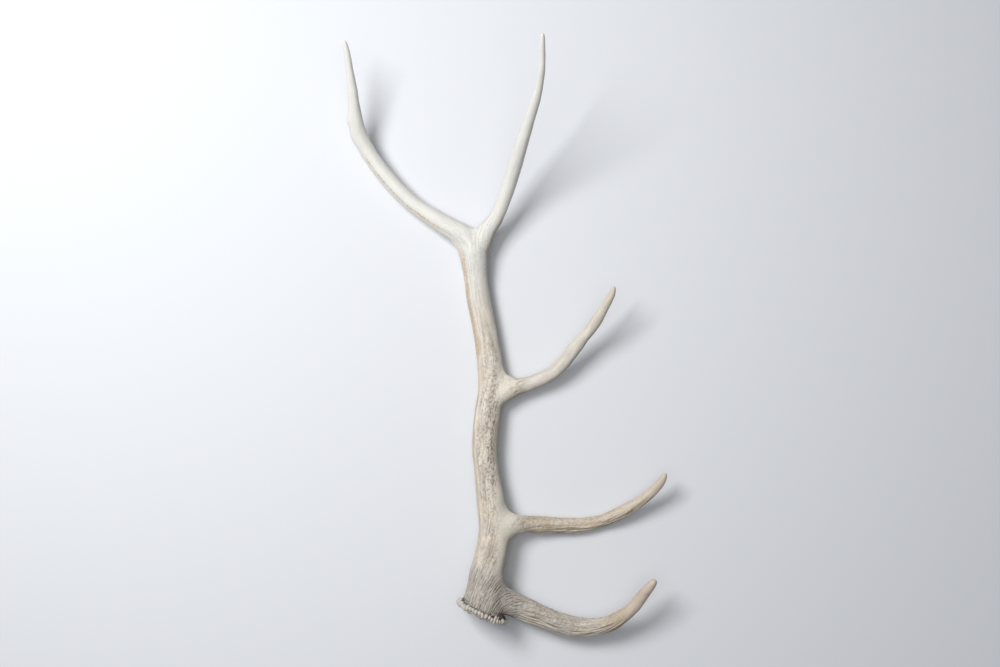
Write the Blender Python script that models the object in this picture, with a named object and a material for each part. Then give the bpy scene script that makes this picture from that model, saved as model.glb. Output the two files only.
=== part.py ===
"""Shed five-point antler, lying on its outer side.

Metres, +Z up. +Y runs from the burr to the tips, +X is the side the tines grow from.
Each branch is a tube lofted along hand-placed stations; the branches are united,
then the antler is parted beside its forks into nine closed pieces.
"""
import bpy
import bmesh
from math import ceil, cos, pi, sin
from mathutils import Vector

MM = 0.001
GAP = 0.3 * MM               # clearance between neighbouring pieces
SIDES = 18                   # facets around a branch
WEB_SIDES = 12               # facets around the webs that round the forks
SPACING = 15.0               # mm between rings along a branch
TIP_ROUNDING = 0.9           # apex height as a share of the last ring's radius

BURR_CENTRE = Vector((-31.0, -484.0, 49.0))
BURR_NORMAL = Vector((0.402, 0.909, 0.105)).normalized()
BURR_RADIUS = 49.0           # mm, to the outside of the pearls
BURR_THICKNESS = 13.0
BURR_PEARLS = 24
PEARL_HEIGHT = 1.6

# Stations along each branch: x, y, z and radius, in millimetres.
BEAM = [
    (-35, -494, 47, 30), (-33, -489, 48, 36), (-31, -484, 48, 38), (-27, -462, 47, 37),
    (-25, -440, 45, 33), (-24, -418, 43, 30), (-17, -395, 41, 27), (-12, -368, 40, 27),
    (-12, -334, 37, 25), (-17, -292, 35, 24), (-22, -257, 32, 22), (-27, -205, 29, 22),
    (-25, -170, 26, 23), (-21, -135, 24, 23), (-16, -100, 23, 22), (-17, -58, 22, 22),
    (-24, -12, 21, 21), (-30, 23, 21, 21), (-37, 58, 21, 21), (-42, 94, 22, 21),
    (-45, 129, 26, 24), (-46, 150, 30, 24), (-47, 163, 33, 18),
]
BROW_TINE = [
    (-8, -462, 44, 27), (14, -470, 40, 24), (35, -477, 37, 21), (52, -485, 36, 20),
    (70, -493, 33, 19), (105, -507, 31, 19), (139, -513, 32, 17), (174, -510, 38, 14),
    (194, -503, 43, 13), (211, -492, 49, 12), (228, -477, 58, 11), (242, -457, 67, 10),
    (253, -441, 75, 8), (260, -432, 79, 6), (264, -427, 82, 4),
]
SECOND_TINE = [
    (-4, -335, 38, 22), (18, -335, 34, 18.5), (35, -335, 29, 16), (53, -335, 24, 15),
    (88, -337, 17, 14.5), (123, -338, 13, 12.5), (159, -335, 13, 11), (185, -328, 16, 10.5),
    (211, -316, 21, 10.5), (236, -301, 29, 10), (258, -284, 37, 9), (273, -269, 45, 7),
    (282, -256, 51, 5), (286, -247, 55, 2.5),
]
THIRD_TINE = [
    (-9, -110, 25, 20), (12, -102, 26, 17), (33, -94, 26, 14), (53, -88, 26, 12.5),
    (70, -82, 27, 12), (90, -71, 29, 12.5), (110, -53, 35, 12.5), (129, -29, 43, 11.5),
    (147, -6, 53, 10.5), (164, 15, 64, 10), (177, 37, 75, 8), (187, 54, 84, 6),
    (193, 66, 90, 4), (195, 75, 94, 2),
]
BEAM_TIP = [
    (-42, 146, 29, 21), (-60, 168, 30, 21), (-83, 182, 31, 18), (-114, 201, 30, 16),
    (-150, 225, 29, 14), (-186, 258, 29, 14), (-222, 303, 33, 14), (-243, 339, 42, 14),
    (-252, 373, 58, 12), (-254, 403, 75, 9.5), (-258, 445, 97, 7), (-262, 479, 114, 4),
    (-265, 493, 121, 2),
]
FRONT_TOP_TINE = [
    (-42, 142, 27, 20), (-34, 161, 31, 20), (-25, 177, 35, 16.5), (-6, 203, 45, 13),
    (7, 231, 59, 12), (19, 263, 79, 12), (29, 294, 103, 11.5), (39, 323, 130, 10.5),
    (49, 352, 158, 9), (59, 380, 186, 7.5), (66, 407, 213, 6.3), (69, 434, 239, 4.5),
    (68, 454, 257, 3.2), (68, 468, 268, 2),
]

# Slim webs that fill the corners where the tines leave the beam.
WEBS = [
    [(-9, -420, 42, 10), (-4, -446, 43, 11), (8, -458, 42, 11), (30, -464, 39, 10)],
    [(-2, -384, 39, 9), (5, -363, 38, 10), (14, -351, 36, 10), (28, -343, 32, 9)],
    [(-6, -287, 35, 9), (0, -303, 35, 10), (9, -319, 34, 10), (34, -329, 30, 9)],
    [(-13, -165, 26, 9), (-9, -136, 26, 10), (0, -117, 26, 10.5), (33, -97, 26, 9)],
    [(-9, -42, 24, 9), (-4, -62, 25, 9.5), (6, -80, 26, 9.5), (35, -90, 26, 9)],
    [(-60, 132, 26, 10), (-67, 152, 29, 10.5), (-81, 171, 31, 10.5), (-100, 185, 31, 10)],
    [(-86, 188, 31, 9), (-65, 177, 32, 10), (-44, 173, 34, 10), (-31, 178, 37, 9.5),
     (-15, 194, 42, 9)],
]

# Each parting plane: a point on the branch's axis and the branch's direction there,
# both as (branch, station, share of the way to the next station), and its reach in mm.
PARTINGS = [
    (BROW_TINE, 2, 0.3, 40),
    (BEAM, 6, 0.4, 45),
    (SECOND_TINE, 2, 0.5, 32),
    (BEAM, 9, 0.6, 42),
    (THIRD_TINE, 2, 0.5, 30),
    (BEAM, 15, 0.4, 40),
    (BEAM_TIP, 2, 0.5, 34),
    (FRONT_TOP_TINE, 3, 0.2, 27),
]

# Each piece: name, a station inside it, and its colour and roughness.
PIECES = [
    ("beam_base", BEAM, 4, (0.36, 0.31, 0.25), 0.72),
    ("brow_tine", BROW_TINE, 6, (0.50, 0.44, 0.35), 0.60),
    ("beam_lower", BEAM, 8, (0.48, 0.43, 0.35), 0.66),
    ("second_tine", SECOND_TINE, 6, (0.52, 0.46, 0.38), 0.60),
    ("beam_middle", BEAM, 12, (0.50, 0.45, 0.37), 0.66),
    ("third_tine", THIRD_TINE, 6, (0.58, 0.50, 0.41), 0.58),
    ("beam_upper", BEAM, 18, (0.62, 0.55, 0.45), 0.62),
    ("beam_tip", BEAM_TIP, 6, (0.72, 0.68, 0.60), 0.58),
    ("front_top_tine", FRONT_TOP_TINE, 6, (0.76, 0.72, 0.65), 0.56),
]


def clear_scene():
    for obj in list(bpy.data.objects):
        bpy.data.objects.remove(obj, do_unlink=True)


def curve_point(stations, index, share):
    """Catmull-Rom value between station index and the next: (position, radius)."""
    last = len(stations) - 1
    a, b, c, d = [Vector(stations[min(max(index + k, 0), last)]) for k in (-1, 0, 1, 2)]
    t = share
    value = 0.5 * ((2 * b) + (c - a) * t + (2 * a - 5 * b + 4 * c - d) * t ** 2
                   + (3 * b - a - 3 * c + d) * t ** 3)
    return Vector(value[:3]), value[3]


def curve_direction(stations, index, share):
    ahead, _ = curve_point(stations, index, min(share + 0.02, 1.0))
    behind, _ = curve_point(stations, index, max(share - 0.02, 0.0))
    return (ahead - behind).normalized()


def branch_rings(stations):
    """Ring centres, radii and directions, evenly spaced from root to tip."""
    rings = []
    for index in range(len(stations) - 1):
        length = (Vector(stations[index + 1][:3]) - Vector(stations[index][:3])).length
        steps = max(1, ceil(length / SPACING - 0.3))
        for step in range(steps):
            share = step / steps
            centre, radius = curve_point(stations, index, share)
            rings.append((centre, radius, curve_direction(stations, index, share)))
    end = len(stations) - 2
    centre, radius = curve_point(stations, end, 1.0)
    rings.append((centre, radius, curve_direction(stations, end, 1.0)))
    return rings


def add_ring(bm, centre, radius, across, up, sides):
    ring = []
    for side in range(sides):
        angle = 2 * pi * side / sides
        offset = across * cos(angle) + up * sin(angle)
        ring.append(bm.verts.new((centre + offset * radius) * MM))
    return ring


def build_branch(name, stations, sides=SIDES):
    """Loft a closed tube along the stations, with a rounded tip."""
    bm = bmesh.new()
    rings = branch_rings(stations)
    direction = rings[0][2]
    across = direction.orthogonal().normalized()
    previous = None
    for centre, radius, heading in rings:
        across.rotate(direction.rotation_difference(heading))
        direction = heading
        current = add_ring(bm, centre, radius, across, direction.cross(across), sides)
        if previous:
            for side in range(sides):
                after = (side + 1) % sides
                bm.faces.new((previous[side], previous[after], current[after], current[side]))
        else:
            bm.faces.new(reversed(current))
        previous = current
    centre, radius, heading = rings[-1]
    apex = bm.verts.new((centre + heading * radius * TIP_ROUNDING) * MM)
    for side in range(sides):
        bm.faces.new((previous[side], previous[(side + 1) % sides], apex))
    return finish_mesh(bm, name)


def build_burr():
    """The coronet: a ring of pearls around the beam's foot, set askew to the beam."""
    bm = bmesh.new()
    around, across = BURR_PEARLS * 3, 8
    turn = Vector((0, 0, 1)).rotation_difference(BURR_NORMAL)
    half = BURR_THICKNESS / 2
    rings = []
    for step in range(around):
        angle = 2 * pi * step / around
        swell = PEARL_HEIGHT * (cos(BURR_PEARLS * angle) - 1) / 2
        outward = Vector((cos(angle), sin(angle), 0))
        ring = []
        for side in range(across):
            lean = 2 * pi * (side + 0.5) / across
            radius = BURR_RADIUS - half + (half + swell) * cos(lean)
            height = (half + swell * 0.5) * sin(lean)
            place = BURR_CENTRE + turn @ (outward * radius + Vector((0, 0, height)))
            ring.append(bm.verts.new(place * MM))
        rings.append(ring)
    for step in range(around):
        here, there = rings[step], rings[(step + 1) % around]
        for side in range(across):
            after = (side + 1) % across
            bm.faces.new((here[side], here[after], there[after], there[side]))
    return finish_mesh(bm, "burr")


def finish_mesh(bm, name):
    bmesh.ops.recalc_face_normals(bm, faces=bm.faces)
    mesh = bpy.data.meshes.new(name)
    bm.to_mesh(mesh)
    bm.free()
    obj = bpy.data.objects.new(name, mesh)
    bpy.context.scene.collection.objects.link(obj)
    return obj


def unite(body, others):
    """Boolean union of the branches into the beam; returns the result as a bmesh."""
    for other in others:
        join = body.modifiers.new("join_" + other.name, 'BOOLEAN')
        join.operation = 'UNION'
        join.solver = 'EXACT'
        join.object = other
    graph = bpy.context.evaluated_depsgraph_get()
    bm = bmesh.new()
    bm.from_object(body, graph)
    for obj in [body] + others:
        bpy.data.objects.remove(obj, do_unlink=True)
    bmesh.ops.remove_doubles(bm, verts=bm.verts, dist=0.00005)
    bmesh.ops.dissolve_degenerate(bm, edges=bm.edges, dist=0.00005)
    return bm


def rest_on_ground(bm):
    """Put the origin at the bottom centre of the antler's bounding box."""
    low = Vector([min(v.co[axis] for v in bm.verts) for axis in range(3)])
    high = Vector([max(v.co[axis] for v in bm.verts) for axis in range(3)])
    shift = Vector((-(low.x + high.x) / 2, -(low.y + high.y) / 2, -low.z))
    bmesh.ops.translate(bm, verts=bm.verts, vec=shift)
    return shift


def part_at(bm, centre, heading, reach):
    """Open a thin gap across one branch and close both faces of it."""
    faces = [f for f in bm.faces if (f.calc_center_median() - centre).length < reach]
    nearby = {e for f in faces for e in f.edges} | {v for f in faces for v in f.verts}
    cut = bmesh.ops.bisect_plane(bm, geom=faces + list(nearby), dist=0.000001,
                                 plane_co=centre, plane_no=heading)
    edges = [e for e in cut["geom_cut"] if isinstance(e, bmesh.types.BMEdge)]
    bmesh.ops.split_edges(bm, edges=edges)
    rim = [e for e in bm.edges if e.is_boundary]
    for vert in {v for e in rim for v in e.verts}:
        middle = sum((f.calc_center_median() for f in vert.link_faces), Vector())
        side = (middle / len(vert.link_faces) - centre).dot(heading)
        vert.co += heading * (GAP / 2 if side > 0 else -GAP / 2)
    filled = bmesh.ops.holes_fill(bm, edges=rim, sides=0)
    bmesh.ops.triangulate(bm, faces=filled["faces"])


def shells(bm):
    """The connected shells of a mesh, as lists of faces."""
    waiting = set(bm.faces)
    found = []
    while waiting:
        shell, to_visit = [], [waiting.pop()]
        while to_visit:
            face = to_visit.pop()
            shell.append(face)
            for edge in face.edges:
                for other in edge.link_faces:
                    if other in waiting:
                        waiting.remove(other)
                        to_visit.append(other)
        found.append(shell)
    return found


def make_material(name, colour, roughness):
    material = bpy.data.materials.new(name)
    material.use_nodes = True
    shader = material.node_tree.nodes["Principled BSDF"]
    shader.inputs["Base Color"].default_value = (*colour, 1.0)
    shader.inputs["Roughness"].default_value = roughness
    shader.inputs["Metallic"].default_value = 0.0
    return material


def make_piece(name, shell, colour, roughness):
    """One shell of the parted antler as an object of its own."""
    bm = bmesh.new()
    copies = {}
    for face in shell:
        for vert in face.verts:
            if vert not in copies:
                copies[vert] = bm.verts.new(vert.co)
        bm.faces.new([copies[vert] for vert in face.verts])
    bmesh.ops.triangulate(bm, faces=bm.faces)
    for face in bm.faces:
        face.smooth = True
    obj = finish_mesh(bm, name)
    obj.data.materials.append(make_material(name, colour, roughness))
    return obj


def nearest_shell(found, place):
    def distance(shell):
        return min((f.calc_center_median() - place).length for f in shell)
    return min(found, key=distance)


def main():
    clear_scene()
    beam = build_branch("beam", BEAM)
    others = [
        build_branch("brow", BROW_TINE),
        build_branch("second", SECOND_TINE),
        build_branch("third", THIRD_TINE),
        build_branch("tip", BEAM_TIP),
        build_branch("front_top", FRONT_TOP_TINE),
        build_burr(),
    ]
    others += [build_branch("web", stations, WEB_SIDES) for stations in WEBS]
    bm = unite(beam, others)
    shift = rest_on_ground(bm)
    for stations, index, share, reach in PARTINGS:
        place, _ = curve_point(stations, index, share)
        heading = curve_direction(stations, index, share)
        part_at(bm, place * MM + shift, heading, reach * MM)
    found = shells(bm)
    for name, stations, index, colour, roughness in PIECES:
        place = Vector(stations[index][:3]) * MM + shift
        make_piece(name, nearest_shell(found, place), colour, roughness)
    bm.free()


main()
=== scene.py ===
import heapq
from math import cos, pi, radians, sin
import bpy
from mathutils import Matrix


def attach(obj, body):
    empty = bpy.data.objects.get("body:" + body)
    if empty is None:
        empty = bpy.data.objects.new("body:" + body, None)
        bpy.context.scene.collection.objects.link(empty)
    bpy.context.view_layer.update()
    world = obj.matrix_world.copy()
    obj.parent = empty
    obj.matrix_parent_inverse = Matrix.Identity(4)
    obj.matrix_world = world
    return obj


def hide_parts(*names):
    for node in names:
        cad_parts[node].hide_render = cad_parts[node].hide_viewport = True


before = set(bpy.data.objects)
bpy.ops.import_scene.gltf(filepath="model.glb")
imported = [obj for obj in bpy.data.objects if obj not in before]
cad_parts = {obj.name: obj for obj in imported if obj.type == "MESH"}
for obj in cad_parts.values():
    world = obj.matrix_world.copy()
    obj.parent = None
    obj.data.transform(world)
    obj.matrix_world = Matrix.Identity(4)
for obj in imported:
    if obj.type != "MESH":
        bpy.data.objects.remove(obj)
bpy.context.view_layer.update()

from types import SimpleNamespace

import bmesh
import bpy
import numpy as np
from mathutils import Matrix, Vector
from mathutils.bvhtree import BVHTree
from mathutils.kdtree import KDTree

mm = 0.001
nodeNames = list(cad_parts)
print("frame loaded:", len(nodeNames), "nodes")


# camera, floor and light come first so that any stage can be looked at

shot = {
    "place": (-0.0107, -0.0685, 2.4685),  # straight above the middle, a little toward the burr
    "leanDegrees": 2,
    "lens": 50,
    "floorSize": 12,
    "keyFrom": (-1.15, 0.85, 2.1),        # soft window from the upper left
    "keySize": 0.95,
    "keyPower": 55,
    "fillFrom": (-0.25, -0.1, 2.9),       # wide and overhead, lifts the shadows
    "fillSize": 2.0,
    "fillPower": 20,
    "sky": 0.20,
}


def linear(hexColour):
    # sRGB hex to the linear values that shaders want
    parts = [int(hexColour[i:i + 2], 16) / 255 for i in (1, 3, 5)]
    return tuple(p / 12.92 if p <= 0.04045 else ((p + 0.055) / 1.055) ** 2.4 for p in parts)


def addNode(material, kind, settings=None, links=None):
    # one node with its settings; links go socket -> (node, output)
    tree = material.node_tree
    node = tree.nodes.new(kind)
    for key, value in (settings or {}).items():
        if isinstance(key, int) or key in node.inputs:
            node.inputs[key].default_value = value
        else:
            setattr(node, key, value)
    for key, (source, output) in (links or {}).items():
        tree.links.new(source.outputs[output], node.inputs[key])
    return node


def aimAt(obj, target):
    obj.rotation_euler = (Vector(target) - obj.location).to_track_quat("-Z", "Y").to_euler()


def setStage():
    bpy.ops.object.select_all(action="DESELECT")
    bpy.ops.object.camera_add(location=shot["place"], rotation=(radians(shot["leanDegrees"]), 0, 0))
    camera = bpy.context.object
    camera.name = "camera"
    camera.data.lens = shot["lens"]
    camera.data.sensor_width = 36
    camera.data.clip_end = 30
    bpy.context.scene.camera = camera

    bpy.ops.mesh.primitive_plane_add(size=shot["floorSize"], location=(0, 0, 0))
    floor = bpy.context.object
    floor.name = "floor"
    paper = bpy.data.materials.new("mattFloorPaper")    # plain pale paper, no sheen
    paper.use_nodes = True
    shader = paper.node_tree.nodes["Principled BSDF"]
    shader.inputs["Base Color"].default_value = (*linear("#DEE0E4"), 1)
    shader.inputs["Roughness"].default_value = 0.9
    floor.data.materials.append(paper)

    for name in ("key", "fill"):
        bpy.ops.object.light_add(type="AREA", location=shot[name + "From"])
        lamp = bpy.context.object
        lamp.name = name + "Light"
        lamp.data.size = shot[name + "Size"]
        lamp.data.energy = shot[name + "Power"]
        aimAt(lamp, (0, 0, 0))

    world = bpy.data.worlds.new("studio")
    world.use_nodes = True
    world.node_tree.nodes["Background"].inputs["Color"].default_value = (*linear("#EEF1F6"), 1)
    world.node_tree.nodes["Background"].inputs["Strength"].default_value = shot["sky"]
    bpy.context.scene.world = world
    bpy.context.scene.view_settings.view_transform = "Standard"
    print("stage set")


setStage()


# one smooth skin over the nine CAD stretches

skin = {
    "gapReach": 0.45 * mm,      # faces nearer than this to a neighbour close a CAD gap
    "voxel": 1.0 * mm,
    "fullness": 0.30 * mm,      # what subdividing takes off the radius, given back
}


def meshArrays(mesh):
    co = np.empty(len(mesh.vertices) * 3)
    mesh.vertices.foreach_get("co", co)
    edges = np.empty(len(mesh.edges) * 2, dtype=np.int32)
    mesh.edges.foreach_get("vertices", edges)
    return co.reshape(-1, 3), edges.reshape(-1, 2)


def vertexNormals(mesh):
    normals = np.empty(len(mesh.vertices) * 3)
    mesh.vertex_normals.foreach_get("vector", normals)
    return normals.reshape(-1, 3)


def setPlaces(mesh, co):
    mesh.vertices.foreach_set("co", co.ravel())
    mesh.update()


def averageOver(values, edges, count):
    # mean of each vertex's neighbours, for a column or an array of columns
    a, b = edges.T
    if values.ndim == 1:
        total = np.bincount(a, values[b], len(count)) + np.bincount(b, values[a], len(count))
        return total / count
    return np.stack([averageOver(values[:, k], edges, count) for k in range(values.shape[1])], 1)


def relax(values, edges, rounds, strength=0.5):
    count = np.maximum(np.bincount(edges.ravel(), minlength=len(values)), 1)
    amount = strength if np.isscalar(strength) or values.ndim == 1 else strength[:, None]
    for _ in range(rounds):
        values = values + amount * (averageOver(values, edges, count) - values)
    return values


def smoothStep(values, low, high):
    t = np.clip((values - low) / (high - low), 0, 1)
    return t * t * (3 - 2 * t)


def gapFaces(obj, others):
    # faces of a CAD stretch that look straight across the thin gap at a neighbour
    found = set()
    for other in others:
        for face in obj.data.polygons:
            hit, _, _, distance = other.find_nearest(face.center, 0.002)
            if hit is not None and distance < skin["gapReach"]:
                found.add(face.index)
    return found


def joinStretches():
    bpy.ops.object.select_all(action="DESELECT")
    trees = {name: stretchTree(node) for name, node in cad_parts.items()}
    copies = []
    for name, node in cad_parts.items():
        copy = node.copy()
        copy.data = node.data.copy()
        copy.parent = None
        bpy.context.scene.collection.objects.link(copy)
        bm = bmesh.new()
        bm.from_mesh(copy.data)
        bmesh.ops.remove_doubles(bm, verts=bm.verts, dist=0.00001)
        bm.to_mesh(copy.data)
        caps = gapFaces(copy, [tree for key, tree in trees.items() if key != name])
        bm.faces.ensure_lookup_table()
        bmesh.ops.delete(bm, geom=[bm.faces[i] for i in caps], context="FACES")
        bm.to_mesh(copy.data)
        bm.free()
        copies.append(copy)
    bpy.ops.object.select_all(action="DESELECT")
    for copy in copies:
        copy.select_set(True)
    bpy.context.view_layer.objects.active = copies[0]
    bpy.ops.object.join()
    whole = bpy.context.object
    whole.name = "antlerSkin"
    bpy.ops.object.mode_set(mode="EDIT")
    bpy.ops.mesh.select_all(action="SELECT")
    bpy.ops.mesh.remove_doubles(threshold=skin["gapReach"])
    bpy.ops.mesh.tris_convert_to_quads(face_threshold=radians(30), shape_threshold=radians(50))
    bpy.ops.mesh.normals_make_consistent(inside=False)
    bpy.ops.object.mode_set(mode="OBJECT")
    return whole


# the burr: a ring of separate pearls around the foot of the beam

burr = {
    "centre": (-0.0417, -0.4663, 0.0488),   # as the CAD's ring
    "cadAxis": (0.402, 0.909, 0.105),       # up the beam, a little askew to it
    "axis": (0.402, 0.909, -0.035),         # the pearled ring stands more upright
    "outerRadius": 48.6 * mm,
    "coreRadius": 43.0 * mm,                # the plain ring is drawn in to this, under the pearls
    "hollowDepth": 5.5 * mm,                # and further in beside the brow tine
    "faceFlattening": 0.5,                  # the shed face bulges less than the CAD's
    "discRadius": 42.0 * mm,                # closes the seam inside the ring
    "discDepth": 5.0 * mm,
    "pearlWidth": 4.9 * mm,                 # widest toward the brow tine
    "pearlGap": 1.3 * mm,
    "browSideGrowth": 0.75,
    "pearlLength": 10.0 * mm,               # along the beam
    "strayPearls": 9,
    "seed": 11,
}


def burrFrame():
    axis = Vector(burr["axis"]).normalized()
    away = Vector((0, 0, 1)).cross(axis).normalized()     # to the side away from the tines
    return Vector(burr["centre"]), axis, away, axis.cross(away)


def aroundBurr(co):
    # height above the burr's plane, distance from its axis and the outward direction
    centre, axis, _, _ = burrFrame()
    rel = co - np.array(centre)
    height = rel @ np.array(axis)
    outward = rel - height[:, None] * np.array(axis)
    radius = np.linalg.norm(outward, axis=1)
    return height, radius, outward / np.maximum(radius, 1e-9)[:, None]


def towardBrow(outward):
    # 1 on the side of the burr where the brow tine leaves, 0 on the other half
    away = np.array(burrFrame()[2])
    return np.clip(-(outward @ away), 0, 1) ** 2


def drawRingIn(whole):
    # the CAD ring is set upright, then pulled toward the beam so that the pearls stand clear
    co, _ = meshArrays(whole.data)
    axis = np.array(burrFrame()[1])
    cadHeight = (co - np.array(burr["centre"])) @ np.array(Vector(burr["cadAxis"]).normalized())
    height, radius, _ = aroundBurr(co)
    reach = 1 - smoothStep(np.abs(cadHeight), 12 * mm, 45 * mm)
    reach = reach * (1 - smoothStep(radius, 55 * mm, 90 * mm))
    co = co + axis * ((cadHeight - height) * reach)[:, None]
    height, radius, outward = aroundBurr(co)
    behind = smoothStep(height, -0.5 * mm, 4.5 * mm)    # the pearls stay rooted in the front of the ring
    core = burr["coreRadius"] - burr["hollowDepth"] * towardBrow(outward) * behind
    inRing = (1 - smoothStep(np.abs(height), 8 * mm, 17 * mm)) * (radius > core)
    inRing = inRing * (1 - smoothStep(radius, 50 * mm, 59 * mm))
    drawn = (radius - core) * 0.9 * inRing
    bulge = np.clip(-height - 5 * mm, 0, None) * (radius < 60 * mm) * burr["faceFlattening"]
    setPlaces(whole.data, co - outward * drawn[:, None] + axis * bulge[:, None])


def addPearl(place, outward, axis, lean, scale):
    bpy.ops.object.select_all(action="DESELECT")
    bpy.ops.mesh.primitive_ico_sphere_add(subdivisions=3, radius=1, location=place)
    pearl = bpy.context.object
    pearl.scale = scale                     # depth, width, length
    length = (axis + axis.cross(outward) * lean).normalized()
    side = length.cross(outward).normalized()
    pearl.rotation_euler = Matrix((outward, side, length)).transposed().to_euler()
    bpy.ops.object.transform_apply(location=True, rotation=True, scale=True)
    return pearl


def addSeamDisc():
    # a plain disc inside the ring closes the seam between the ring and the beam
    centre, axis, _, _ = burrFrame()
    bpy.ops.object.select_all(action="DESELECT")
    bpy.ops.mesh.primitive_cylinder_add(vertices=96, radius=burr["discRadius"], depth=burr["discDepth"],
                                        location=centre - axis * mm)
    disc = bpy.context.object
    disc.rotation_euler = axis.to_track_quat("Z", "Y").to_euler()
    bpy.ops.object.transform_apply(location=True, rotation=True, scale=True)
    return disc


def addPearls():
    centre, axis, away, over = burrFrame()
    rng = np.random.default_rng(burr["seed"])
    pearls = []
    angle = 0.0
    while True:
        size = 1 + burr["browSideGrowth"] * max(0, -cos(angle)) ** 2
        width = burr["pearlWidth"] * size * rng.uniform(0.75, 1.3) / 2
        halfTurn = (width + burr["pearlGap"] * rng.uniform(0.2, 1.4) / 2) / (burr["outerRadius"] - width)
        angle += halfTurn
        if angle + halfTurn > 2 * pi:
            break
        outward = away * cos(angle) + over * sin(angle)
        angle += halfTurn
        length = burr["pearlLength"] * (0.7 + 0.3 * size) * rng.uniform(0.75, 1.15) / 2
        depth = max(width * 1.4, 3.8 * mm) * rng.uniform(0.9, 1.1)
        place = centre + outward * (burr["outerRadius"] - depth * rng.uniform(1.0, 1.15))
        place += axis * rng.uniform(-1.5, 1.5) * mm
        pearls.append(addPearl(place, outward, axis, rng.uniform(-0.55, 0.2), (depth, width, length)))
    for _ in range(burr["strayPearls"]):    # smaller ones, scattered above the row
        angle = rng.uniform(0, 2 * pi)
        outward = away * cos(angle) + over * sin(angle)
        width = rng.uniform(1.3, 2.4) * mm
        place = centre + outward * (burr["coreRadius"] + rng.uniform(-0.5, 2.0) * mm)
        place += axis * rng.uniform(4, 6.5) * mm
        pearls.append(addPearl(place, outward, axis, rng.uniform(-0.5, 0.5), (width, width, width * 1.6)))
    return pearls


def makeSkin():
    whole = joinStretches()
    rounding = whole.modifiers.new("rounding", "SUBSURF")
    rounding.levels = rounding.render_levels = 2
    bpy.ops.object.modifier_apply(modifier=rounding.name)
    drawRingIn(whole)
    additions = [addSeamDisc()] + addPearls()
    bpy.ops.object.select_all(action="DESELECT")
    for addition in additions:
        addition.select_set(True)
    whole.select_set(True)
    bpy.context.view_layer.objects.active = whole
    bpy.ops.object.join()
    whole.data.remesh_voxel_size = skin["voxel"]
    bpy.ops.object.voxel_remesh()
    print("skin:", len(whole.data.vertices), "vertices")
    return whole


# guide: which way the bone grew at each place, and how far it is from the burr and from a tip

guide = {
    "voxel": 3.2 * mm,          # a coarser skin, quick to solve on
    "browPull": 8.0,            # more of the burr's grooves sweep into the brow tine
    "secondPull": 1.1,
    "solveSteps": 500,
    "filletRounds": 80,         # rounds the hollow corners of the forks
}


def makeGuideMesh(whole):
    bpy.ops.object.select_all(action="DESELECT")
    mesh = whole.copy()
    mesh.data = whole.data.copy()
    bpy.context.scene.collection.objects.link(mesh)
    mesh.select_set(True)
    bpy.context.view_layer.objects.active = mesh
    mesh.data.remesh_voxel_size = guide["voxel"]
    bpy.ops.object.voxel_remesh()
    return mesh


def crossLinks(mesh):
    # the edges of the quads and both their diagonals
    corners = np.array([list(face.vertices) for face in mesh.polygons if len(face.vertices) == 4])
    _, edges = meshArrays(mesh)
    return np.concatenate([edges, corners[:, [0, 2]], corners[:, [1, 3]]])


def walkFrom(seeds, links, co):
    # shortest way over the surface from the nearest seed (Dijkstra)
    reach = [[] for _ in range(len(co))]
    lengths = np.linalg.norm(co[links[:, 0]] - co[links[:, 1]], axis=1)
    for (a, b), length in zip(links.tolist(), lengths.tolist()):
        reach[a].append((b, length))
        reach[b].append((a, length))
    distance = [1e9] * len(co)
    queue = []
    for seed in seeds:
        distance[seed] = 0
        queue.append((0, seed))
    heapq.heapify(queue)
    while queue:
        far, here = heapq.heappop(queue)
        if far > distance[here]:
            continue
        for there, length in reach[here]:
            if far + length < distance[there]:
                distance[there] = far + length
                heapq.heappush(queue, (far + length, there))
    return np.array(distance), reach


def unit(vectors):
    return vectors / np.maximum(np.linalg.norm(vectors, axis=-1, keepdims=True), 1e-12)


def spreadOver(values, edges, free, steps):
    # the smoothest field that keeps the values which aren't free (conjugate gradients)
    count = np.bincount(edges.ravel(), minlength=len(values))

    def roughness(field):
        return free * (count * field - count * averageOver(field, edges, count))

    rest = -roughness(values)
    way = rest.copy()
    size = rest @ rest
    for _ in range(steps):
        turned = roughness(way)
        share = size / max(way @ turned, 1e-30)
        values = values + share * way
        rest = rest - share * turned
        newSize = rest @ rest
        if newSize < 1e-16:
            break
        way = rest + newSize / size * way
        size = newSize
    return values


def growthDirection(flow, links, co, normals):
    # uphill direction of the growth field, laid in the surface
    a, b = links.T
    step = co[b] - co[a]
    slope = ((flow[b] - flow[a]) / np.maximum((step ** 2).sum(1), 1e-12))[:, None] * step
    direction = np.stack([np.bincount(a, slope[:, k], len(co)) + np.bincount(b, slope[:, k], len(co))
                          for k in range(3)], 1)
    direction = unit(relax(direction, links, 3))
    direction -= (direction * normals).sum(1)[:, None] * normals
    return unit(direction)


def findTips(along, co, reach):
    peaks = [i for i in np.flatnonzero(along > 0.25).tolist()
             if all(along[i] >= along[j] for j, _ in reach[i])]
    tips = []
    for peak in sorted(peaks, key=lambda i: -along[i]):
        if all(np.linalg.norm(co[peak] - co[tip]) > 0.05 for tip in tips):
            tips.append(peak)
    print("tips found:", len(tips))
    return tips


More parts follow.
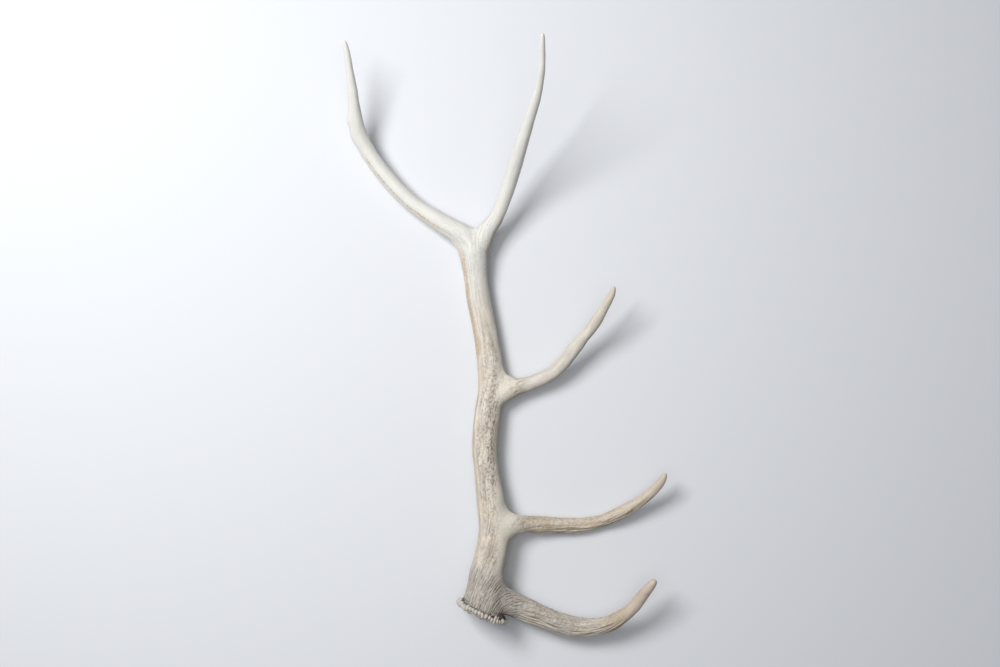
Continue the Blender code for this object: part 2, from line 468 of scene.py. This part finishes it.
def makeGuide(whole):
    mesh = makeGuideMesh(whole)
    co, edges = meshArrays(mesh.data)
    normals = vertexNormals(mesh.data)
    links = crossLinks(mesh.data)
    height, radius, _ = aroundBurr(co)
    seeds = np.flatnonzero((height < 6 * mm) & (radius < 60 * mm))
    along, reach = walkFrom(seeds.tolist(), links, co)
    along = relax(along, links, 25)
    tips = findTips(along, co, reach)
    toTip, _ = walkFrom(tips, links, co)
    shares = stretchShares(co, links)

    flow = along.copy()
    free = np.ones(len(co))
    free[seeds] = 0
    flow[seeds] = 0
    pulls = {"brow_tine": guide["browPull"], "second_tine": guide["secondPull"]}
    for tip in tips:
        cap = np.linalg.norm(co - co[tip], axis=1) < 9 * mm
        free[cap] = 0
        owner = nodeNames[int(shares[tip].argmax())]
        flow[cap] = along[tip] * pulls.get(owner, 1)
    flow = spreadOver(flow, edges, free, guide["solveSteps"])
    direction = growthDirection(flow, links, co, normals)

    toTip = relax(toTip, links, 10)
    flutes = streaksAlong(growthLines(co, direction, 9 * mm, 9), co, 12 * mm)
    fillet = filletForks(co, edges, normals, height)
    columns = np.column_stack([along, toTip, direction, flutes, fillet, shares])
    bpy.data.objects.remove(mesh, do_unlink=True)
    return co, columns


def filletForks(co, edges, normals, height):
    # how far each place moves when the hollow corners between the branches fill out
    count = np.bincount(edges.ravel(), minlength=len(co))
    bend = ((averageOver(co, edges, count) - co) * normals).sum(1)
    hollow = smoothStep(relax(bend, edges, 4), 0.0, 0.06 * mm)
    hollow = smoothStep(relax(hollow, edges, 8), 0.05, 0.3) * smoothStep(height, 14 * mm, 24 * mm)
    return relax(co, edges, guide["filletRounds"], 0.75 * hollow) - co


def stretchShares(co, links):
    # how much each place belongs to each CAD stretch, blurred over the joints
    nearest = np.full(len(co), 1e9)
    owner = np.zeros(len(co), dtype=int)
    for index, name in enumerate(nodeNames):
        tree = stretchTree(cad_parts[name])
        for i, place in enumerate(co.tolist()):
            distance = tree.find_nearest(place, 0.03)[3]
            if distance is not None and distance < nearest[i]:
                nearest[i] = distance
                owner[i] = index
    return relax(np.eye(len(nodeNames))[owner], links, 18)


def stretchTree(node):
    bm = bmesh.new()
    bm.from_mesh(node.data)
    bmesh.ops.remove_doubles(bm, verts=bm.verts, dist=0.01 * mm)
    tree = BVHTree.FromBMesh(bm)
    bm.free()
    return tree


def pointTree(co):
    tree = KDTree(len(co))
    for index, place in enumerate(co.tolist()):
        tree.insert(place, index)
    tree.balance()
    return tree


def readGuide(co, guideCo, columns):
    # the guide's values at the fine skin's vertices, from the nearest few guide points
    tree = pointTree(guideCo)
    picks = np.empty((len(co), 5), dtype=np.int32)
    gaps = np.empty((len(co), 5))
    for i, place in enumerate(co.tolist()):
        near = tree.find_n(place, 5)
        picks[i] = [n[1] for n in near]
        gaps[i] = [n[2] for n in near]
    weights = 1 / (gaps ** 2 + (0.6 * mm) ** 2)
    weights /= weights.sum(1)[:, None]
    values = np.zeros((len(co), columns.shape[1]))
    for k in range(picks.shape[1]):
        values += weights[:, k, None] * columns[picks[:, k]]
    return values


# streaks: noise drawn out along the growth, as the blood vessels of the velvet ran

noiseSlopes = unit(np.random.default_rng(5).normal(size=(64, 64, 64, 3)))


def noiseAt(points):
    # smooth gradient noise, about -1 to 1, with one hump or hollow to each unit
    cell = np.floor(points).astype(np.int64)
    part = points - cell
    ease = part ** 3 * (part * (part * 6 - 15) + 10)
    total = np.zeros(len(points))
    for corner in np.ndindex(2, 2, 2):
        x, y, z = ((cell + corner) & 63).T
        height = ((part - corner) * noiseSlopes[x, y, z]).sum(1)
        total += height * np.where(corner, ease, 1 - ease).prod(1)
    return 1.5 * total


def growthLines(co, direction, step, count):
    # for every vertex, the places that lie 1, 2, 3 ... steps up and down its growth line
    tree = pointTree(co)
    lines = []
    for way in (step, -step):
        target = co + direction * way
        nearest = np.array([tree.find(p)[1] for p in target.tolist()])
        rest = target - co[nearest]
        place = co
        for _ in range(count):
            place = place[nearest] + rest
            lines.append(place)
    return lines


def streaksAlong(lines, co, cell, shift=0.0):
    # mean of the noise along each growth line, scaled back to the noise's own strength
    count = len(lines) // 2
    total = noiseAt(co / cell + shift)
    power = 1.0
    for k in range(count):
        weight = cos(pi / 2 * (k + 1) / (count + 1)) ** 2
        for place in (lines[k], lines[count + k]):
            total = total + weight * noiseAt(place / cell + shift)
            power += weight ** 2
    return total / np.sqrt(power)


# carving: fork fillets, long vascular grooves, pearling and the rough shed face

carving = {
    "settleRounds": 10,             # melts the last facets and voxel steps
    "fluteDepth": 0.9 * mm,
    "grooveCell": 2.5 * mm,         # about half the width from ridge to ridge
    "grooveDepth": 0.95 * mm,
    "ridgeCell": 7 * mm,
    "ridgeHeight": 0.9 * mm,
    "ribCell": 4.4 * mm,            # bolder ribs under the brow tine and the second tine
    "ribHeight": 1.3 * mm,
    "drawStep": 2.1 * mm,           # grooves are drawn out over 2 x 10 of these
    "drawCount": 10,
    "briefCount": 4,                # and the shorter ones of the foot over 2 x 4
    "wormCell": 4.2 * mm,           # the short winding pits of the pearled band
    "wormStep": 1.4 * mm,
    "warpCell": 6 * mm,             # bends the pits and the pebbles
    "warpReach": 1.2 * mm,
    "pitDepth": 0.8 * mm,
    "pebbleCell": 4.6 * mm,
    "pebbleHeight": 0.5 * mm,
    "unevenness": 0.7 * mm,
    "lumpHeight": 1.1 * mm,
    "gritHeight": 0.08 * mm,
    "hollowDepth": 1.4 * mm,        # between the burr and the brow tine
    "tipFullness": 1.3 * mm,        # blunt, worn points
    "shedRoughness": 1.1 * mm,
    "floorGap": 0.05 * mm,          # nothing sinks into the floor
}

# the plain noises: cell size, and a shift that makes each one differ
noises = {
    "patches": (14 * mm, 3.1),      # where the pits are denser or sparser
    "breaks": (3.6 * mm, 17.3),     # where a winding pit stops
    "swelling": (45 * mm, 0),
    "lumps": (17 * mm, 0),
    "bulges": (20 * mm, 7.7),       # along the second and third tine
    "grit": (2.4 * mm, 0),
    "crumbs": (6 * mm, 0),          # of the shed face
    "freckles": (3.1 * mm, 29.1),
    "paleSpecks": (2.7 * mm, 51.3),
    "speckles": (3.2 * mm, 5.5),    # in the ochre and olive lines
}

# place, push and reach of the few swellings that the plain stretches lack
swells = [
    ((-0.051, -0.362, 0.055), (-3.4 * mm, 0, 0), 17 * mm),          # back of the beam above the brow fork
    ((0.012, -0.340, 0.075), (4.0 * mm, -4.4 * mm, 0), 14 * mm),    # lower web of the second tine
    ((-0.273, 0.389, 0.060), (-3.4 * mm, -1.0 * mm, 0), 7 * mm),    # the small step on the left prong
    ((-0.268, 0.364, 0.052), (-3.0 * mm, -1.2 * mm, 0), 13 * mm),   # and the fuller stretch below it
]


def winding(values, width):
    # 1 along the winding lines where the noise changes sign, 0 beyond that width
    return 1 - smoothStep(np.abs(values), 0.3 * width, width)


def facing(normals, direction, low, high):
    return smoothStep(normals @ unit(np.array(direction)), low, high)


def between(values, low, high, blur):
    # 1 from low to high, fading out over the blur on both sides
    return smoothStep(values, low - blur, low + blur) * (1 - smoothStep(values, high - blur, high + blur))


def evened(values, edges, rounds):
    # takes the broad swells out of a pattern, so that no stretch of it is left plain
    values = values - relax(values, edges, rounds)
    return values * 0.4 / values.std()


def settleShape(co, edges, on):
    # fills the forks out, melts the facets and adds the swellings; pearls and tips are spared
    height, radius, _ = aroundBurr(co)
    on.pearly = smoothStep(radius, 37 * mm, 40 * mm) * (1 - smoothStep(np.abs(height), 9 * mm, 13 * mm))
    nearTip = 1 - smoothStep(on.toTip, 6 * mm, 30 * mm)
    hold = (1 - 0.85 * on.pearly) * (1 - 0.9 * nearTip)
    co = relax(co + on.fillet, edges, carving["settleRounds"], 0.5 * hold)
    for place, push, reach in swells:
        nearness = np.exp(-((co - np.array(place)) ** 2).sum(1) / (2 * reach ** 2))
        co = co + np.array(push) * nearness[:, None]
    return co


def drawPatterns(co, edges, growth):
    # every pattern at every vertex, about -1 to 1
    pattern = SimpleNamespace()
    for name, (cell, shift) in noises.items():
        setattr(pattern, name, noiseAt(co / cell + shift))
    count, brief = carving["drawCount"], carving["briefCount"]
    drawn = growthLines(co, growth, carving["drawStep"], count)
    nearby = drawn[:brief] + drawn[count:count + brief]
    pattern.long = evened(streaksAlong(drawn, co, carving["grooveCell"]), edges, 9)
    pattern.brief = evened(streaksAlong(nearby, co, 0.92 * carving["grooveCell"]), edges, 9)
    pattern.ridge = streaksAlong(drawn, co, carving["ridgeCell"], 5.1)
    pattern.rib = evened(streaksAlong(drawn, co, carving["ribCell"], 2.2), edges, 25)
    warp = [noiseAt(co / carving["warpCell"] + shift) for shift in (0.7, 11.7, 23.7)]
    bent = co + carving["warpReach"] * np.stack(warp, 1)
    short = [bent + growth * carving["wormStep"] * k for k in (1, 2, -1, -2)]
    pattern.worm = streaksAlong(short, bent, carving["wormCell"], 9.2)
    pattern.pebbles = noiseAt(bent / carving["pebbleCell"] + 41.7)
    print("streaks drawn")
    return pattern


def markPlaces(co, normals, on, patches):
    # adds where each part of the surface lies, 0 to 1, to the stretches' shares
    on.side = np.degrees(np.arctan2(normals[:, 0], normals[:, 2]))  # 0 on top, 90 toward the tines
    on.crown = on.tip + on.front_top
    on.tineRoot = smoothStep(on.toTip, 70 * mm, 210 * mm)           # tines are worn smooth beyond it
    on.browRoot = smoothStep(on.toTip, 45 * mm, 150 * mm)
    on.secondRoot = smoothStep(on.toTip, 25 * mm, 110 * mm)
    on.footZone = 1 - smoothStep(on.along, 42 * mm, 88 * mm)
    on.nearRing = on.base * (1 - smoothStep(on.along, 12 * mm, 26 * mm))
    on.below = facing(normals, (0.1, -1, 0.15), 0.0, 0.6)           # the side of a tine nearest the burr
    on.ribbed = on.brow * (0.4 + 0.6 * on.below) * on.browRoot + on.second * on.below * on.secondRoot
    on.backSide = between(on.side, -95, -22, 10)
    # painted shade: surfaces facing away from the key light get a dark olive-brown in their colour
    on.shadeSide = facing(normals, (0.78, -0.55, -0.25), 0.42, 0.8) * (1 - 0.8 * on.crown) * (1 - on.pearly)
    # the inner flank faces away from the key light; it is smoother, and the cream coat paints light onto it
    innerFlank = between(on.side, 26, 100, 8) * smoothStep(on.along, 55 * mm, 80 * mm)
    on.smoothSide = (on.lower + on.base) * innerFlank
    # webs: the smooth roots of the second and third tine
    fromBeam = smoothStep(co[:, 0] + 5 * mm * patches, -20 * mm, -9 * mm)
    toTine = 1 - smoothStep(co[:, 0], -2 * mm, 28 * mm)
    on.webs = fromBeam * toTine * np.clip(on.lower + on.middle + on.upper + on.second + on.third, 0, 1)

    height, radius, outward = aroundBurr(co)
    on.hollow = towardBrow(outward) * between(height, 8 * mm, 13 * mm, 2.5 * mm)
    on.hollow = on.hollow * (1 - smoothStep(radius, 50 * mm, 60 * mm))
    on.spongy = smoothStep(-height, 3 * mm, 5 * mm) * (1 - smoothStep(radius, 40.5 * mm, 43 * mm))
    on.pearlRoots = on.pearly * (1 - smoothStep(radius, 42.5 * mm, 45.3 * mm))
    on.pearlRoots = on.pearlRoots * smoothStep(height, -5 * mm, -2 * mm)


def markGrooves(on):
    # densest over the foot and the brow tine, faint on the crown
    leftSide = 1 - smoothStep(on.side, -8, 22)
    grooved = on.base * (on.footZone + (1 - on.footZone) * (0.10 + 0.32 * leftSide))
    grooved += on.brow * on.browRoot * (0.45 + 0.4 * on.below)
    grooved += on.lower * (0.14 + 0.32 * leftSide)
    grooved += on.middle * (0.1 + 0.24 * leftSide)
    grooved += on.upper * (0.12 + 0.16 * leftSide)
    grooved += on.second * on.secondRoot * (0.15 + 0.65 * on.below)
    grooved += 0.12 * on.third * on.tineRoot + 0.06 * on.crown
    on.grooved = grooved * (1 - on.pearly) * (1 - 0.85 * on.smoothSide) * (1 - 0.85 * on.webs)


def markPits(on, patches):
    # a pearled band along the top of the beam and another along its underside
    under = smoothStep(np.abs(on.side), 105, 130)
    darker = 0.68 + 0.32 * smoothStep(on.side, -12, 20)
    nearFork = 1 - smoothStep(on.along, 0.44, 0.52)
    pearled = 0.55 * on.lower * np.maximum(between(on.side, -42, 32, 8), under)
    pearled += 0.4 * on.lower * between(on.side, -8, 38, 8) * smoothStep(on.along, 0.16, 0.2)
    pearled += on.middle * np.maximum(between(on.side, -46, 52, 8) * darker, under)
    pearled += 0.55 * on.upper * nearFork * np.maximum(between(on.side, -18, 42, 8), under)
    pearled += 0.75 * on.base * (1 - 0.7 * on.footZone) * np.maximum(between(on.side, -50, 32, 8), under)
    pearled += 0.55 * on.second * on.secondRoot * (1 - 0.6 * on.below)
    pearled += 0.6 * on.brow * on.browRoot * (1 - on.below)
    pearled += 0.12 * on.third * on.tineRoot
    dense = 0.5 + 0.5 * smoothStep(patches, -0.45, 0.0)
    on.pearled = np.clip(pearled, 0, 1) * dense * (1 - 0.78 * on.webs)
    on.pebbly = 1.1 * on.second * on.secondRoot + 0.8 * on.brow * on.browRoot + 0.3 * on.third
    on.pebbly += 0.6 * (on.lower + on.middle + on.base) * on.pearled


def reliefOf(on, pattern):
    # height over the plain skin at every vertex
    bare = 1 - on.pearly
    offWebs = 1 - 0.85 * on.webs
    ridged = 0.12 + 0.4 * on.grooved + 0.3 * on.ribbed
    ridged += 0.6 * on.backSide * (on.lower + on.middle + on.upper)
    valley = smoothStep(-pattern.groove, 0.0, 0.38)
    lumps = pattern.swelling + 0.6 * pattern.lumps
    holes = smoothStep(pattern.grit, 0.05, 0.3)
    relief = carving["fluteDepth"] * on.flutes * bare * offWebs * (0.45 + 0.55 * np.clip(on.grooved, 0, 1))
    relief += carving["ridgeHeight"] * pattern.ridge * ridged * bare * offWebs
    relief += carving["ribHeight"] * pattern.rib * on.ribbed * bare * (1 - on.webs)
    relief += carving["lumpHeight"] * pattern.bulges * (on.third + 0.7 * on.second) * (1 - on.webs)
    relief += carving["unevenness"] * lumps * smoothStep(on.toTip, 5 * mm, 60 * mm)
    relief -= carving["grooveDepth"] * valley * on.grooved * (1 + 0.9 * on.nearRing)
    relief += carving["pebbleHeight"] * pattern.pebbles * on.pebbly
    relief -= carving["pitDepth"] * pattern.pits * on.pearled
    relief += carving["gritHeight"] * pattern.grit * (0.5 + on.grooved + on.pearled)
    relief -= carving["hollowDepth"] * on.hollow
    relief += carving["shedRoughness"] * on.spongy * (0.7 * pattern.crumbs - holes)
    return relief


def finishOf(normals, on, pattern):
    # how strongly each coat of the material shows at every vertex
    ochre = on.upper * between(on.along, 0.38, 0.62, 0.03) * between(on.side, -88, -42, 9)
    ochre += 0.5 * on.middle * between(on.side, -95, -65, 8)
    # a thin dirty line low on the left prong, olive toward its end
    outerEdge = normals @ unit(np.array((0.55, 0.75, 0)))
    tipLine = on.tip * between(outerEdge, -0.78, -0.56, 0.06) * smoothStep(on.toTip, 0.18, 0.24)
    oliveEnd = 1 - smoothStep(on.toTip, 0.27, 0.34)
    speckled = 0.35 + 0.65 * smoothStep(pattern.speckles, -0.2, 0.25)
    paleSpecks = smoothStep(pattern.paleSpecks, 0.12, 0.42)
    darkGrooves = smoothStep(-pattern.groove, 0.08, 0.5) * on.grooved * (1.1 + 0.6 * on.nearRing)
    darkRibs = 0.75 * smoothStep(-pattern.rib, 0.25, 0.65) * on.ribbed * (1 - on.webs)
    greyed = (on.base * on.footZone + 0.4 * on.brow * on.tineRoot) * (1 - 0.6 * paleSpecks)
    yellowed = 1.1 * on.brow * between(on.toTip, 60 * mm, 130 * mm, 30 * mm)
    patchy = 0.5 + 0.5 * smoothStep(pattern.patches, -0.3, 0.3)
    finish = {
        "crest": 0.6 + (0.5 * on.flutes + 0.7 * pattern.ridge) * (1 - 0.8 * on.webs) + 0.3 * on.webs,
        "bleached": on.crown + on.upper * smoothStep(on.along, 0.44, 0.62) + 0.45 * on.third,
        # the pale cream of the smooth tine roots, also painted light on the inner flank and the webs, which
        # lie in shade
        "creamy": on.webs + on.smoothSide,
        "freckled": smoothStep(pattern.freckles, 0.05, 0.4) * (1 - 0.7 * on.crown),
        "ochre": (ochre + tipLine * (1 - oliveEnd)) * speckled,
        "olive": tipLine * oliveEnd * speckled,
        "tan": 0.6 * on.second + 0.1 * on.third + yellowed,
        "stained": greyed + 0.9 * on.pearly,
        "polished": (1 - smoothStep(on.toTip, 30 * mm, 110 * mm)) * (1 - on.crown),
        "flushed": on.brow * (1 - smoothStep(on.toTip, 30 * mm, 75 * mm)) * patchy,
        "shadeSide": on.shadeSide,
        "pearl": on.pearly,
        "pit": pattern.pits * on.pearled,
        "groove": darkGrooves + darkRibs,
        # painted shade: the roots of the pearls and the hollow beside the brow tine are coloured nearly
        # black
        "gap": on.pearlRoots + 0.85 * on.hollow,
        "spongy": on.spongy,
    }
    return {coat: np.clip(share, 0, 1) for coat, share in finish.items()}


def carve(whole):
    guideCo, columns = makeGuide(whole)
    co, edges = meshArrays(whole.data)
    values = readGuide(co, guideCo, columns)
    stretches = [name.replace("beam_", "").replace("_tine", "") for name in nodeNames]
    shares = {name: values[:, 9 + k] for k, name in enumerate(stretches)}
    on = SimpleNamespace(along=values[:, 0], toTip=values[:, 1], flutes=values[:, 5], **shares)
    on.growth = unit(values[:, 2:5])
    on.fillet = values[:, 6:9]
    print("guide read")
    co = settleShape(co, edges, on)
    setPlaces(whole.data, co)
    normals = unit(relax(vertexNormals(whole.data), edges, 6))

    pattern = drawPatterns(co, edges, on.growth)
    markPlaces(co, normals, on, pattern.patches)
    markGrooves(on)
    markPits(on, pattern.patches)
    inFoot = np.clip(on.base * on.footZone * (1 - 0.6 * on.brow), 0, 1)
    pattern.groove = pattern.long + (pattern.brief - pattern.long) * inFoot
    pattern.pits = winding(pattern.worm, 0.40) * smoothStep(pattern.breaks, -0.42, -0.12)
    relief = relax(reliefOf(on, pattern), edges, 1)     # takes the steps off the slanting grooves
    blunt = carving["tipFullness"] * (1 - smoothStep(on.toTip, 8 * mm, 60 * mm))
    co = co + normals * (relief + skin["fullness"] + blunt)[:, None]
    co[:, 2] = np.maximum(co[:, 2], carving["floorGap"])
    setPlaces(whole.data, co)
    for name, column in finishOf(normals, on, pattern).items():
        layer = whole.data.attributes.new(name, "FLOAT", "POINT")
        layer.data.foreach_set("value", relax(column, edges, 1))
    print("carved")
    return whole


# back into the nine stretches, cut where the CAD is cut, with one shading across the cuts

cutting = {
    "margin": 7 * mm,       # how far a cut reaches beyond the CAD's own cut face
    "capCorners": 12,       # a cut face has more corners than this, the skin's faces fewer
}


def gapPlanes():
    # centre, direction and reach of each CAD gap, from the faces on both its sides
    planes = []
    trees = {name: stretchTree(node) for name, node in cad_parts.items()}
    for first in range(len(nodeNames)):
        for second in range(first + 1, len(nodeNames)):
            nodes = [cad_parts[nodeNames[k]] for k in (first, second)]
            caps = [[nodes[k].data.polygons[i] for i in gapFaces(nodes[k], [trees[nodeNames[other]]])]
                    for k, other in ((0, second), (1, first))]
            if not caps[0] or not caps[1]:
                continue
            centres = [sum((f.center * f.area for f in cap), Vector()) / sum(f.area for f in cap)
                       for cap in caps]
            direction = sum((f.normal * f.area for f in caps[0]), Vector()).normalized()
            centre = (centres[0] + centres[1]) / 2
            reach = max((f.center - centre).length for f in caps[0]) + cutting["margin"]
            planes.append((centre, direction, reach))
    print("gap planes:", len(planes))
    return planes


def cutApart(whole):
    normals = vertexNormals(whole.data)
    keep = whole.data.attributes.new("skinNormal", "FLOAT_VECTOR", "POINT")
    keep.data.foreach_set("vector", normals.ravel())
    centres = np.empty(len(whole.data.polygons) * 3)
    whole.data.polygons.foreach_get("center", centres)
    centres = centres.reshape(-1, 3)
    bm = bmesh.new()
    bm.from_mesh(whole.data)
    bm.faces.ensure_lookup_table()
    planes = gapPlanes()
    local = []
    for centre, direction, reach in planes:
        near = np.flatnonzero(np.linalg.norm(centres - np.array(centre), axis=1) < reach)
        local.append([bm.faces[i] for i in near.tolist()])
    for (centre, direction, reach), faces in zip(planes, local):
        geometry = faces + list({e for f in faces for e in f.edges} | {v for f in faces for v in f.verts})
        cut = bmesh.ops.bisect_plane(bm, geom=geometry, dist=0.0005 * mm,
                                     plane_co=centre, plane_no=direction)
        edges = [e for e in cut["geom_cut"] if isinstance(e, bmesh.types.BMEdge)]
        bmesh.ops.split_edges(bm, edges=edges)
    rims = [e for e in bm.edges if e.is_boundary]
    bmesh.ops.holes_fill(bm, edges=rims, sides=0)
    bm.to_mesh(whole.data)
    bm.free()
    bpy.ops.object.select_all(action="DESELECT")
    whole.select_set(True)
    bpy.context.view_layer.objects.active = whole
    bpy.ops.object.mode_set(mode="EDIT")
    bpy.ops.mesh.select_all(action="SELECT")
    bpy.ops.mesh.separate(type="LOOSE")
    bpy.ops.object.mode_set(mode="OBJECT")
    parts = list(bpy.context.selected_objects)
    print("parts:", len(parts))
    return parts


def ownerOf(part):
    co, _ = meshArrays(part.data)
    middle = Vector(co.mean(0).tolist())
    nearest = min(range(len(co)), key=lambda i: (Vector(co[i].tolist()) - middle).length_squared)
    place = co[nearest].tolist()
    return min(nodeNames, key=lambda name: stretchTree(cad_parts[name]).find_nearest(place)[3])


def shareShading(part):
    # the whole skin's normals on the outside, flat normals on the hidden cut faces
    mesh = part.data
    count = len(mesh.vertices)
    outer = np.empty(count * 3)
    mesh.attributes["skinNormal"].data.foreach_get("vector", outer)
    outer = unit(outer.reshape(-1, 3))
    corners = np.empty(len(mesh.loops), dtype=np.int32)
    mesh.loops.foreach_get("vertex_index", corners)
    flat = np.empty(len(mesh.polygons) * 3)
    mesh.polygons.foreach_get("normal", flat)
    flat = flat.reshape(-1, 3)
    sizes = np.empty(len(mesh.polygons), dtype=np.int32)
    mesh.polygons.foreach_get("loop_total", sizes)
    faceOf = np.repeat(np.arange(len(sizes)), sizes)
    normals = outer[corners]
    caps = sizes[faceOf] > cutting["capCorners"]
    normals[caps] = flat[faceOf[caps]]
    mesh.polygons.foreach_set("use_smooth", np.ones(len(sizes), dtype=bool))
    mesh.normals_split_custom_set(normals.tolist())
    mesh.attributes.remove(mesh.attributes["skinNormal"])


# material: antler bone, weathered outdoors; pale dry ridges, dark dirt held in the grooves; its colour also
# holds painted shade away from the key light and around the pearls, and painted light on the inner flank

bone = {
    "ridge": "#DFD8CC",
    "channel": "#BCB1A2",
    "ridgeWarm": "#D6C7B3",
    "mottleSize": 35 * mm,          # warm and cool patches
    "grainSize": 2.2 * mm,          # fine grain of the dry surface
    "grainDepth": 0.4 * mm,
    "roughness": 0.62,              # dry, chalky surface
    "polishedRoughness": 0.42,      # rubbed smooth on the tine ends
    "ior": 1.54,                    # bone mineral
}

# what lies over the bone: where it shows, how strongly and its colour, each over the ones before it
coats = [
    ("bleached", 1.0, "#DFDDD6"),   # sun-bleached crown
    ("creamy", 0.75, "#E9E2D3"),    # pale smooth roots of the tines and the inner flank, laid on as painted light where the key light leaves them in shade
    ("freckled", 0.16, "#9C8B7A"),  # specks of lichen and dust
    ("ochre", 0.8, "#BC9F78"),      # rubbed bark and soil
    ("olive", 0.75, "#A89D7C"),     # end of the dirty line on the left prong
    ("tan", 0.55, "#C2AB88"),       # second tine and the middle of the brow tine
    ("stained", 0.8, "#A69F98"),    # grey weathering over the foot
    ("polished", 0.5, "#C9BCA8"),
    ("flushed", 0.5, "#B0968A"),    # reddish point of the brow tine
    ("shadeSide", 0.7, "#82735F"),  # painted shade, olive-brown, on the side that faces away from the key light
    ("pearl", 0.8, "#C6BFB5"),
    ("pit", 0.72, "#6E635A"),       # dirt in the winding pits
    ("groove", 0.85, "#4E463E"),    # darker dirt in the long grooves
    ("gap", 1.0, "#3E3730"),        # painted shade, nearly black, under and between the pearls and in the hollow beside the brow tine
    ("spongy", 1.0, "#B5A78F"),     # open bone of the shed face
]


def boneWithPaintedLightAndShade(name):
    material = bpy.data.materials.new(name)
    material.use_nodes = True
    tree = material.node_tree
    shader = tree.nodes["Principled BSDF"]
    place = addNode(material, "ShaderNodeTexCoord")
    crest = addNode(material, "ShaderNodeAttribute", {"attribute_name": "crest"})
    colours = {6: (*linear(bone["channel"]), 1), 7: (*linear(bone["ridge"]), 1)}
    colour = addNode(material, "ShaderNodeMix", {"data_type": "RGBA", **colours}, {0: (crest, "Fac")})
    mottle = addNode(material, "ShaderNodeTexNoise",
                     {"Scale": 1 / bone["mottleSize"], "Detail": 4.0, "Roughness": 0.6},
                     {"Vector": (place, "Object")})
    warm = addNode(material, "ShaderNodeMapRange", {"From Min": 0.42, "From Max": 0.68, "To Max": 0.7},
                   {"Value": (mottle, "Fac")})
    colour = addNode(material, "ShaderNodeMix", {"data_type": "RGBA", 7: (*linear(bone["ridgeWarm"]), 1)},
                     {0: (warm, "Result"), 6: (colour, 2)})
    masks = {}
    for coat, strength, shade in coats:
        masks[coat] = addNode(material, "ShaderNodeAttribute", {"attribute_name": coat})
        amount = addNode(material, "ShaderNodeMath", {"operation": "MULTIPLY", 1: strength},
                         {0: (masks[coat], "Fac")})
        colour = addNode(material, "ShaderNodeMix", {"data_type": "RGBA", 7: (*linear(shade), 1)},
                         {0: (amount, "Value"), 6: (colour, 2)})
    rough = addNode(material, "ShaderNodeMapRange",
                    {"To Min": bone["roughness"], "To Max": bone["polishedRoughness"]},
                    {"Value": (masks["polished"], "Fac")})
    grain = addNode(material, "ShaderNodeTexNoise",
                    {"Scale": 1 / bone["grainSize"], "Detail": 2.0, "Roughness": 0.5},
                    {"Vector": (place, "Object")})
    bump = addNode(material, "ShaderNodeBump", {"Strength": 0.25, "Distance": bone["grainDepth"]},
                   {"Height": (grain, "Fac")})
    shader.inputs["IOR"].default_value = bone["ior"]
    tree.links.new(colour.outputs[2], shader.inputs["Base Color"])
    tree.links.new(rough.outputs["Result"], shader.inputs["Roughness"])
    tree.links.new(bump.outputs["Normal"], shader.inputs["Normal"])
    return material


def finishPieces(parts):
    weathered = boneWithPaintedLightAndShade("weatheredAntlerBone")
    for part in parts:
        name = ownerOf(part)
        words = name.split("_")
        part.name = words[0] + "".join(word.capitalize() for word in words[1:])
        part.data.name = part.name
        shareShading(part)
        part.data.materials.clear()
        part.data.materials.append(weathered)
        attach(part, "root")
        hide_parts(name)
        print("finished", part.name, len(part.data.polygons), "faces")


whole = makeSkin()
whole = carve(whole)
parts = cutApart(whole)
finishPieces(parts)
